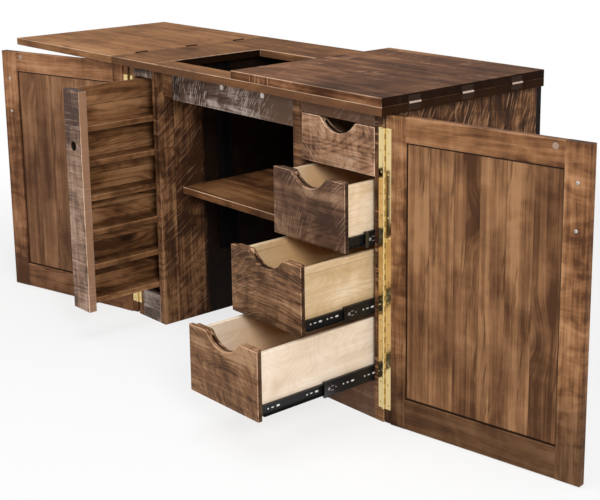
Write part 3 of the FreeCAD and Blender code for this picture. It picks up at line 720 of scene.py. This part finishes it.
def dress_case():
    for node, tones, seed, board, values in (
            ("top", TOP_TONES, 1.0, 0.118, dict(
                contrast=0.85, edge_colour=TOP_EDGE, worn_boxes=(front_arris("top"), CUT_OUT_BACK),
                mask=cut_out_shade, mask_share=0.9)),
            ("left_leaf", LEFT_LEAF_TONES, 2.0, 0.125, dict(
                contrast=0.72, edge_colour=LEFT_LEAF_EDGE, worn_boxes=(front_arris("left_leaf"),))),
            ("right_leaf", LEAF_TONES, 3.0, 0.125, dict(
                saw=LEAF_SAW, worn_boxes=(front_arris("right_leaf"),), mask=leaf_shade, mask_share=0.45))):
        # The tops' sawn ends (ends=0.95) go near black: end grain's darker stain, deepened by painted shade
        dress_in_wood(node, "xyz", tones, TOP_EASE, seed=seed, board=board, streak=0.035, curl=0.2,
                      sheen_level=0.03, arris=1.0, ends=0.95, **values)
    for node, seed, board, values in (
            ("left_side", 4.0, 0.098, dict(saw=SIDE_SAW)),
            ("left_divider", 5.0, 0.098, dict(
                seam=0.0012, contrast=1.6, saw=DIVIDER_SAW, mask=kneehole_painted_shade)),
            ("right_divider", 6.0, 0.098, dict(saw=SIDE_SAW, mask=kneehole_painted_shade)),
            ("right_side", 7.0, 0.062, dict(contrast=1.9, saw=dict(SIDE_SAW, Pale_Share=0.6)))):
        dress_in_wood(node, "zyx", CASE_TONES, seed=seed, board=board, **values)
    # The back panel is near black: painted shade
    dress_in_wood("back_panel", "xzy", BACK_SHADE_TONES, seed=8.0, board=0.16, saw=BACK_SAW)
    for node, seed in (("top_rails", 9.0), ("bottom_rails", 10.0)):
        dress_in_wood(node, "xzy", GREY_TONES, seed=seed, board=WHOLE, saw=APRON_SAW, mask=right_rails,
                      mask_share=0.8, mask_colour=RAIL_BROWN)
    dress_in_wood("apron", "xzy", GREY_TONES, seed=11.0, board=WHOLE, saw=APRON_SAW, mask=apron_brown,
                  mask_share=0.72, mask_colour=APRON_BROWN)
    dress_in_wood("apron_end_block", "xzy", CASE_TONES, seed=12.0, board=WHOLE)
    dress_in_wood("drawer_rails", "xzy", CASE_TONES, seed=13.0, board=WHOLE)
    dress_in_wood("pedestal_floors", "yxz", CASE_TONES, seed=14.0)
    dress_in_wood("lift_platform", "xyz", PLATFORM_TONES, seed=33.0, board=0.16, curl=0.2, arris=0.7,
                  worn_boxes=(front_arris("lift_platform"),))


def dress_doors():
    # Each door's side, tones, panel tones, contrast and share of painted shade at its foot
    for side, tones, panel_tones, contrast, foot in (
            ("right", DOOR_TONES, PANEL_TONES, 1.1, 0.60),
            ("left", LEFT_DOOR_TONES, LEFT_PANEL_TONES, 0.85, 0.30)):
        door = side + "_door_"
        turn = DOOR_ANGLES[side]
        dress_in_wood(door + "stiles", "zxy", tones, turn=turn, seed=15.0, board=WHOLE, curl=0.8,
                      contrast=contrast + 0.1, mask=painted_shade_near_floor, mask_share=foot)
        dress_in_wood(door + "rails", "xzy", tones, turn=turn, seed=16.0, board=WHOLE, curl=0.35,
                      mask=painted_shade_near_floor, mask_share=foot)
        dress_in_wood(door + "panel", "zxy", panel_tones, turn=turn, seed=17.0, board=0.066, seam=0.0004,
                      streak=0.018, curl=0.2, lines=0.12, knots=0.9, mineral=0.7, contrast=contrast,
                      mask=painted_panel_shadow)


def dress_drawers():
    for number, look in enumerate(DRAWER_LOOKS, 1):
        drawer = "drawer_%d_" % number
        dress_in_wood(drawer + "front", "xzy", look["tones"], DRAWER_EASE, seed=look["seed"], board=WHOLE,
                      curl=0.6, lines=0.8, bend=3.4, contrast=look["contrast"], saw=look["saw"],
                      arris=0.9, worn=1.6)
        dress_in_wood(drawer + "box", "yzx", look["maple"], seed=24.0 + number, board=WHOLE, curl=0.3,
                      lines=0.7, bend=4.0, knots=0.0, mineral=0.12, contrast=0.8, gloss=0.4,
                      sheen_level=0.3, arris=0.2, ends=0.08, mask=painted_inside_shade(number),
                      mask_share=0.75, mask_colour=PAINTED_WARM_SHADE)


def dress_rack():
    dress_in_wood("rack_front", "zxy", RACK_FRONT_TONES, seed=30.0, board=WHOLE, saw=RACK_SAW,
                  edge_colour=RACK_EDGE, worn_boxes=(RACK_FRONT_SIDE,), mask=painted_rack_hole_shade)
    dress_in_wood("rack_back", "yzx", RACK_TONES, seed=31.0, board=0.0972, seam=0.0011, first_seam=0.0718,
                  curl=0.15, lines=0.6, knots=0.9, mineral=0.9, contrast=1.25)
    dress_in_wood("rack_shelves", "yxz", RACK_TONES, seed=32.0, board=WHOLE, arris=0.7)


def dress_metalwork():
    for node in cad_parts:
        if "slide" in node:
            dress(node, BLACK_STEEL, STEEL_EASE)
    for node in ("case_hinge_leaves", "right_door_hinge_leaf", "left_door_hinge_leaf",
                 "right_hinge_pin", "left_hinge_pin"):
        dress(node, BRASS, 0.0)
    for node in ("top_hinge_plates", "left_leaf_hinges", "right_leaf_hinges"):
        dress(node, DULL_BRONZE, 0.0)
    dress("door_catches", BRIGHT_STEEL, STEEL_EASE)
    for side in ("left", "right"):
        dress(side + "_door_strike", STRIKE_METAL, STEEL_EASE)
        dress(side + "_door_pull", PULL_METAL, FITTING_EASE)
    for node in ("lift_guides", "lift_brackets"):
        dress(node, LIFT_STEEL, FITTING_EASE)


# Mesh building

def add_object(name, data):
    """A new object in the scene."""
    thing = bpy.data.objects.new(name, data)
    bpy.context.collection.objects.link(thing)
    return thing


def make_piece(name, body, material, build, values=(), replaces=(), matrix=None, ease=0.0):
    """Builds a mesh piece from its values, places it and lets it ride on its body."""
    form = bmesh.new()
    build(form, *values)
    if matrix:
        bmesh.ops.transform(form, matrix=matrix, verts=form.verts)
    bmesh.ops.recalc_face_normals(form, faces=form.faces)
    mesh = bpy.data.meshes.new(name)
    form.to_mesh(mesh)
    form.free()
    mesh.materials.append(material)
    thing = add_object(name, mesh)
    if ease:
        ease_edges(thing, ease)
    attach(thing, body)
    if replaces:
        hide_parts(*replaces)
    return thing


def add_box(form, low, high):
    """A box between its two corners."""
    corners = [form.verts.new((x, y, z)) for x in (low[0], high[0]) for y in (low[1], high[1])
               for z in (low[2], high[2])]
    for face in ((0, 1, 3, 2), (4, 6, 7, 5), (0, 4, 5, 1), (2, 3, 7, 6), (0, 2, 6, 4), (1, 5, 7, 3)):
        form.faces.new([corners[index] for index in face])


def standing(centre, axis):
    """Places what is built along Z at a centre, along a unit axis."""
    turn = Vector((0, 0, 1)).rotation_difference(Vector(axis)).to_matrix().to_4x4()
    return Matrix.Translation(centre) @ turn


def add_rod(form, centre, axis, radius, length, sides):
    """A round rod from its middle, along a unit axis."""
    bmesh.ops.create_cone(form, cap_ends=True, segments=sides, radius1=radius, radius2=radius, depth=length,
                          matrix=standing(centre, axis))


def ring_faces(form, lower, upper):
    """Joins two rings of points with a band of faces."""
    count = len(lower)
    for step in range(count):
        after = (step + 1) % count
        form.faces.new((lower[step], lower[after], upper[after], upper[step]))


# A screw head's profile, in shares of its radius and rise, and its cross recess in the same shares
SCREW_SIDES = 24
SCREW_PROFILE = ((1.0, 0.0), (0.97, 0.45), (0.80, 0.85), (0.55, 1.0))
CROSS_REACH = 0.42
CROSS_HALF = 0.10
CROSS_TAPER = 0.7
CROSS_BOTTOM = 0.25


def add_screw(form, centre, outward, radius, rise):
    """A low domed screw head with a cross recess."""
    place_at = standing(centre, outward)
    rings = []
    for share, height in SCREW_PROFILE:
        ring = []
        for step in range(SCREW_SIDES):
            angle = math.tau * step / SCREW_SIDES
            spot = Vector((radius * share * math.cos(angle), radius * share * math.sin(angle), rise * height))
            ring.append(form.verts.new(place_at @ spot))
        rings.append(ring)
    for lower, upper in zip(rings, rings[1:]):
        ring_faces(form, lower, upper)
    form.faces.new(reversed(rings[0]))
    arm = radius * CROSS_REACH
    half = radius * CROSS_HALF
    outline = [(arm, -half), (arm, half), (half, half), (half, arm), (-half, arm), (-half, half),
               (-arm, half), (-arm, -half), (-half, -half), (-half, -arm), (half, -arm), (half, -half)]
    top = [form.verts.new(place_at @ Vector((x, y, rise))) for x, y in outline]
    bottom = [form.verts.new(place_at @ Vector((x * CROSS_TAPER, y * CROSS_TAPER, rise * CROSS_BOTTOM)))
              for x, y in outline]
    ring_faces(form, bottom, top)
    form.faces.new(bottom)
    edges = []
    for loop in (rings[-1], top):
        for step in range(len(loop)):
            pair = (loop[step], loop[(step + 1) % len(loop)])
            edges.append(form.edges.get(pair) or form.edges.new(pair))
    bmesh.ops.triangle_fill(form, use_beauty=True, use_dissolve=False, edges=edges)


# Faces of a mark's half-round end
MARK_SIDES = 8


def add_slot_mark(form, centre, length, height, thick):
    """An oblong boss with round ends on a face that looks along X, its length along Y."""
    half = height / 2
    reach = length / 2 - half
    outline = []
    for end in (1, -1):
        for step in range(MARK_SIDES + 1):
            angle = math.radians(-90 + 180 * step / MARK_SIDES)
            outline.append((end * (reach + half * math.cos(angle)), end * half * math.sin(angle)))
    rings = []
    for depth in (0.0, thick):
        rings.append([form.verts.new((centre[0] + depth, centre[1] + y, centre[2] + z)) for y, z in outline])
    form.faces.new(rings[0])
    form.faces.new(list(reversed(rings[1])))
    ring_faces(form, *rings)


# Piano hinges

HINGE_LOW = 37 * MM
HINGE_HIGH = 713 * MM
HINGE_KNUCKLE = 12.7 * MM
HINGE_SCREW_PITCH = 50.8 * MM
HINGE_LEAF_NEAR = 1.2 * MM
HINGE_LEAF_REACH = 19.0 * MM
HINGE_LEAF_THICK = 1.2 * MM
CASE_LEAF_BACK = -542.4 * MM
DOOR_LEAF_BACK = -548.8 * MM
KNUCKLE_RADIUS = 3.0 * MM
KNUCKLE_GAP = 0.3 * MM
KNUCKLE_SIDES = 14
HINGE_SCREW_RADIUS = 2.9 * MM
HINGE_SCREW_RISE = 0.35 * MM
HINGE_SCREW_STAGGER = 1.2 * MM
CASE_SCREW_START = 14 * MM
DOOR_SCREW_START = 10 * MM


def door_turn(side, angle):
    """Turns a piece built at the right hinge, doors shut, to where a door stands."""
    flip = Matrix.Scale(-1, 4, (1, 0, 0)) if side == "left" else Matrix.Identity(4)
    hinge = Vector((HINGE_X, HINGE_Y, 0))
    turn = Matrix.Rotation(math.radians(abs(angle)), 4, "Z")
    return flip @ Matrix.Translation(hinge) @ turn @ Matrix.Translation(-hinge)


def piano_leaf(form, back, front_step, first):
    """One leaf with every second knuckle; front_step is which way its face looks along Y."""
    face = back + front_step * HINGE_LEAF_THICK
    add_box(form, (HINGE_X - HINGE_LEAF_REACH, min(back, face), HINGE_LOW),
            (HINGE_X - HINGE_LEAF_NEAR, max(back, face), HINGE_HIGH))
    count = int((HINGE_HIGH - HINGE_LOW) / HINGE_KNUCKLE)
    pitch = (HINGE_HIGH - HINGE_LOW) / count
    for number in range(first, count, 2):
        middle = HINGE_LOW + (number + 0.5) * pitch
        add_rod(form, (HINGE_X, HINGE_Y, middle), (0, 0, 1), KNUCKLE_RADIUS, pitch - KNUCKLE_GAP,
                KNUCKLE_SIDES)


def piano_screws(form, face, front_step, start):
    """Screws up a leaf, to either side of its middle in turn."""
    middle = HINGE_X - (HINGE_LEAF_REACH + HINGE_LEAF_NEAR + KNUCKLE_RADIUS) / 2
    height = HINGE_LOW + start
    stagger = -HINGE_SCREW_STAGGER
    while height < HINGE_HIGH:
        add_screw(form, (middle + stagger, face, height), (0, front_step, 0), HINGE_SCREW_RADIUS,
                  HINGE_SCREW_RISE)
        height += HINGE_SCREW_PITCH
        stagger = -stagger


def piano_hinges():
    """Both hinges: leaves with their knuckles in turn, and screws."""
    case_face = CASE_LEAF_BACK - HINGE_LEAF_THICK
    door_face = DOOR_LEAF_BACK + HINGE_LEAF_THICK
    case_leaves = []
    for side, angle in DOOR_ANGLES.items():
        still = door_turn(side, 0)
        swung = door_turn(side, angle)
        case_leaves.append(make_piece(
            side + "_case_piano_leaf", "case", BRASS, piano_leaf,
            (CASE_LEAF_BACK, -1, 0), matrix=still))
        make_piece(side + "_case_piano_screws", "case", BRASS_SCREWS, piano_screws,
                   (case_face, -1, CASE_SCREW_START), matrix=still)
        make_piece(side + "_door_piano_leaf", side + "_door", BRASS, piano_leaf,
                   (DOOR_LEAF_BACK, 1, 1), matrix=swung, replaces=(side + "_door_hinge_leaf",))
        make_piece(side + "_door_piano_screws", side + "_door", BRASS_SCREWS,
                   piano_screws, (door_face, 1, DOOR_SCREW_START), matrix=swung)
    for leaf in case_leaves:
        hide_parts("case_hinge_leaves")


# Drawer slides

# Outer faces of the members' webs
INNER_WEB = 473.0 * MM
MIDDLE_WEB = 482.1 * MM

# Marks by their way behind the start, length and height in mm, the cage's also by their rise
SLIDE_MARKS = ((16, 3.8, 3.8), (29, 7.0, 2.4), (45, 9.5, 4.2))
CAGE_MARKS = ((13, 8.0, 8.0, 0), (23, 9.0, 1.6, 5), (23, 9.0, 1.6, -5), (34, 3.4, 3.4, 0))
MARK_RISE = 0.5 * MM

# A member's second set of marks starts this far before the next member hides it
LAST_MARKS = 62 * MM
MIDDLE_MARKS_START = 42 * MM
MIDDLE_MARKS_REACH = 130 * MM

# A slide drawn less than this shows no rivets or slots
MARKED_LENGTH = 70 * MM

# The cage end: its faces along X, and its sizes from the middle member's front end and mid height
CAGE_FACE = MIDDLE_WEB + 0.7 * MM
CAGE_BACK = MIDDLE_WEB - 1.8 * MM
CAGE_DEEP = MIDDLE_WEB - 6 * MM
CAGE_LEAD = 1 * MM
CAGE_HEAD = 8 * MM
CAGE_HALF = 19.5 * MM
CAGE_BLOCK = 5.3 * MM
CAGE_TONGUE = 40 * MM
CAGE_TONGUE_HALF = 16 * MM
CAGE_TONGUE_DROP = 0.3 * MM
CAGE_RIB_PLACES = (12 * MM, 19 * MM, 26 * MM, 33 * MM)
CAGE_RIB_WIDTH = 3 * MM
CAGE_RIB_HALF = 11 * MM
CAGE_RIB_THICK = 0.4 * MM
CAGE_MARK_X = CAGE_FACE - 0.1 * MM
CAGE_MARK_RISE = 0.4 * MM
CAGE_EASE = 0.8 * MM


def slide_marks(form, web, start, shown):
    """Rivets and slots along a slide member, near its front end and near where the next one hides it."""
    for first in (start, start + shown - LAST_MARKS):
        for away, length, height in SLIDE_MARKS:
            add_slot_mark(form, (web, first + away * MM, 0), length * MM, height * MM, MARK_RISE)


def cage_end(form, start):
    """The bulky front end of a middle member: a plate with two blocks behind it, and a ribbed tongue."""
    front = start - CAGE_LEAD
    shoulder = start + CAGE_HEAD
    add_box(form, (CAGE_BACK, front, -CAGE_HALF), (CAGE_FACE, shoulder, CAGE_HALF))
    for low in (-CAGE_HALF, CAGE_HALF - CAGE_BLOCK):
        add_box(form, (CAGE_DEEP, front, low), (CAGE_BACK, shoulder, low + CAGE_BLOCK))
    add_box(form, (CAGE_BACK, shoulder, -CAGE_TONGUE_HALF),
            (CAGE_FACE - CAGE_TONGUE_DROP, start + CAGE_TONGUE, CAGE_TONGUE_HALF))
    for away in CAGE_RIB_PLACES:
        add_box(form, (CAGE_FACE - CAGE_RIB_THICK, start + away, -CAGE_RIB_HALF),
                (CAGE_FACE, start + away + CAGE_RIB_WIDTH, CAGE_RIB_HALF))


def cage_marks(form, start):
    """The bright rivets and stamped edges that show through the cage."""
    for away, length, height, rise in CAGE_MARKS:
        add_slot_mark(form, (CAGE_MARK_X, start + away * MM, rise * MM), length * MM, height * MM,
                      CAGE_MARK_RISE)


def drawer_slide_details():
    """Cage ends on every slide's middle member, and marks where a drawn slide shows."""
    for number in range(1, 5):
        drawer = "drawer_%d" % number
        runners = drawer + "_runners"
        inner_low, inner_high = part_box(drawer + "_slide_inners")
        lift = Matrix.Translation((0, 0, (inner_low[2] + inner_high[2]) / 2))
        inner_start = inner_low[1]
        middle_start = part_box(drawer + "_slide_middles")[0][1]
        shown = middle_start - inner_start
        make_piece(drawer + "_cage_end", runners, CAGE_PLASTIC, cage_end,
                   (middle_start,), matrix=lift, ease=CAGE_EASE)
        make_piece(drawer + "_cage_marks", runners, CAGE_STEEL, cage_marks,
                   (middle_start,), matrix=lift)
        if shown > MARKED_LENGTH:
            make_piece(drawer + "_inner_marks", drawer, ZINC, slide_marks,
                       (INNER_WEB, inner_start, shown), matrix=lift)
            make_piece(drawer + "_middle_marks", runners, ZINC, slide_marks,
                       (MIDDLE_WEB, middle_start + MIDDLE_MARKS_START, MIDDLE_MARKS_REACH), matrix=lift)


# Cleats behind the top

CLEAT_SPANS = ((-490.0 * MM, -405.0 * MM), (-380.0 * MM, 198.5 * MM), (231.5 * MM, 484.5 * MM))
CLEAT_FRONT = -21.0 * MM
CLEAT_REAR = -9.0 * MM
CLEAT_LOW = 722.0 * MM
CLEAT_HIGH = 747.4 * MM
CLEAT_EASE = 0.8 * MM


def cleat_strips(form):
    for start, end in CLEAT_SPANS:
        add_box(form, (start, CLEAT_FRONT, CLEAT_LOW), (end, CLEAT_REAR, CLEAT_HIGH))


def back_cleats():
    """Dark strips that close the slot between the top's back edge and the back panel."""
    boards = wood("cleat_strips", "xzy", BACK_SHADE_TONES, seed=40.0, board=WHOLE)
    make_piece("back_cleats", "case", boards, cleat_strips, ease=CLEAT_EASE)


# Leaf hinges and door screws

LEAF_AXIS_X = 546.1 * MM
LEAF_AXIS_Z = 768.2 * MM
LEAF_HINGE_PLACES = (-477.0 * MM, -300.5 * MM, -124.0 * MM)
LEAF_HINGE_LENGTH = 39 * MM
BARREL_RADIUS = {"right": 2.9 * MM, "left": 2.0 * MM}
BARREL_GAP = 0.4 * MM
BARREL_SIDES = 20


def leaf_barrels(form, side, radius, segments):
    """Some of the three barrel segments of each hinge, -1 at its front and 1 at its rear."""
    pitch = LEAF_HINGE_LENGTH / 3
    for middle in LEAF_HINGE_PLACES:
        for segment in segments:
            add_rod(form, (side * LEAF_AXIS_X, middle + segment * pitch, LEAF_AXIS_Z), (0, 1, 0),
                    radius, pitch - BARREL_GAP, BARREL_SIDES)


def leaf_hinge_details():
    for side, name, finish in ((1, "right", BRONZE), (-1, "left", BROWN_BRONZE)):
        radius = BARREL_RADIUS[name]
        make_piece(name + "_leaf_outer_barrels", "case", finish, leaf_barrels,
                   (side, radius, (-1, 1)))
        make_piece(name + "_leaf_middle_barrels", name + "_leaf", finish, leaf_barrels,
                   (side, radius, (0,)))


PULL_SCREW_X = 30 * MM
PULL_SCREW_HEIGHTS = (560 * MM, 661.6 * MM)
PULL_SCREW_RADIUS = 4.4 * MM
PULL_SCREW_RISE = 2.0 * MM
DOOR_INNER_FACE = -545.4 * MM


def door_screws(form):
    for height in PULL_SCREW_HEIGHTS:
        add_screw(form, (PULL_SCREW_X, DOOR_INNER_FACE, height), (0, 1, 0), PULL_SCREW_RADIUS,
                  PULL_SCREW_RISE)


def door_details():
    """The ends of the pulls' screws, on the inside of each door."""
    for side, angle in DOOR_ANGLES.items():
        make_piece(side + "_pull_screws", side + "_door", BRIGHT_STEEL, door_screws,
                   matrix=door_turn(side, angle))


# Floor, light and camera

FLOOR_REACH = 60.0
FLOOR_COLOUR = (0.80, 0.80, 0.80)
WHITE = (1.0, 1.0, 1.0)

# The floor fades from partly to fully white between these distances from the desk
FADE_START = 1.2
FADE_END = 2.6
FADE_LEAST = 0.74

# Strength of the world's light on the desk; the eye sees it at 1
WORLD_LIGHT = 0.33

# Each lamp's name, place, aim, width and power
LAMPS = (("key", (3.9, -2.5, 2.4), (0.1, -0.6, 0.4), 1.3, 155),
         ("front", (-0.8, -4.2, 1.8), (0.0, -0.5, 0.4), 1.6, 42),
         ("high", (0.0, -0.8, 3.2), (0.0, -0.4, 0.7), 1.8, 38))


def background_seen(tree):
    """One where the camera, a reflection or glass sees the background, nought where it lights the desk."""
    paths = place(tree, "LightPath").outputs
    reflected = calc(tree, "MAXIMUM", paths["Is Glossy Ray"], paths["Is Transmission Ray"])
    return calc(tree, "MAXIMUM", paths["Is Camera Ray"], reflected)


def pale_floor():
    """Matt under the desk, so that it takes the shadow, and white farther out."""
    material, tree, shader = new_material("pale_floor")
    give(tree, shader.inputs, Base_Color=FLOOR_COLOUR, Roughness=0.9, Specular_IOR_Level=0.1)
    away = length_of(tree, place(tree, "TexCoord").outputs["Object"])
    fade = smooth(tree, away, FADE_START, FADE_END, FADE_LEAST, 1.0)
    white = place(tree, "Emission", Color=WHITE, Strength=1.0)
    mixed = place(tree, "MixShader", n0=product(tree, fade, background_seen(tree)),
                  n1=shader.outputs[0], n2=white.outputs[0])
    tree.links.new(mixed.outputs[0], tree.nodes["Material Output"].inputs["Surface"])
    return material


def floor():
    mesh = bpy.data.meshes.new("floor")
    corners = [(x * FLOOR_REACH, y * FLOOR_REACH, 0) for x, y in ((-1, -1), (1, -1), (1, 1), (-1, 1))]
    mesh.from_pydata(corners, [], [(0, 1, 2, 3)])
    mesh.materials.append(pale_floor())
    add_object("floor", mesh)


def studio():
    """A world that is white to see and lights the desk softly."""
    world = bpy.data.worlds.new("studio")
    bpy.context.scene.world = world
    world.use_nodes = True
    tree = world.node_tree
    tree.nodes.clear()
    strength = place(tree, "MapRange", Value=background_seen(tree), To_Min=WORLD_LIGHT, To_Max=1.0)
    ground = place(tree, "Background", Color=WHITE, Strength=strength.outputs[0])
    result = tree.nodes.new("ShaderNodeOutputWorld")
    tree.links.new(ground.outputs[0], result.inputs["Surface"])


def lamp(name, spot, aim, width, power):
    data = bpy.data.lights.new(name, "AREA")
    data.shape = "SQUARE"
    data.size = width
    data.energy = power
    thing = add_object(name, data)
    thing.location = spot
    thing.rotation_euler = (Vector(aim) - Vector(spot)).to_track_quat("-Z", "Y").to_euler()


def camera():
    data = bpy.data.cameras.new("camera")
    data.lens = FOCAL_PIXELS / IMAGE_WIDTH * SENSOR_WIDTH
    data.sensor_width = SENSOR_WIDTH
    data.shift_y = CAMERA_SHIFT
    thing = add_object("camera", data)
    turn = (Matrix.Rotation(-CAMERA_YAW, 4, "Z") @ Matrix.Rotation(math.pi / 2 - CAMERA_PITCH, 4, "X")
            @ Matrix.Rotation(CAMERA_ROLL, 4, "Z"))
    thing.matrix_world = Matrix.Translation(CAMERA_PLACE) @ turn
    bpy.context.scene.camera = thing


dress_case()
dress_doors()
dress_drawers()
dress_rack()
dress_metalwork()
piano_hinges()
drawer_slide_details()
back_cleats()
leaf_hinge_details()
door_details()
floor()
studio()
for lamp_values in LAMPS:
    lamp(*lamp_values)
camera()
bpy.context.scene.view_settings.view_transform = "Standard"
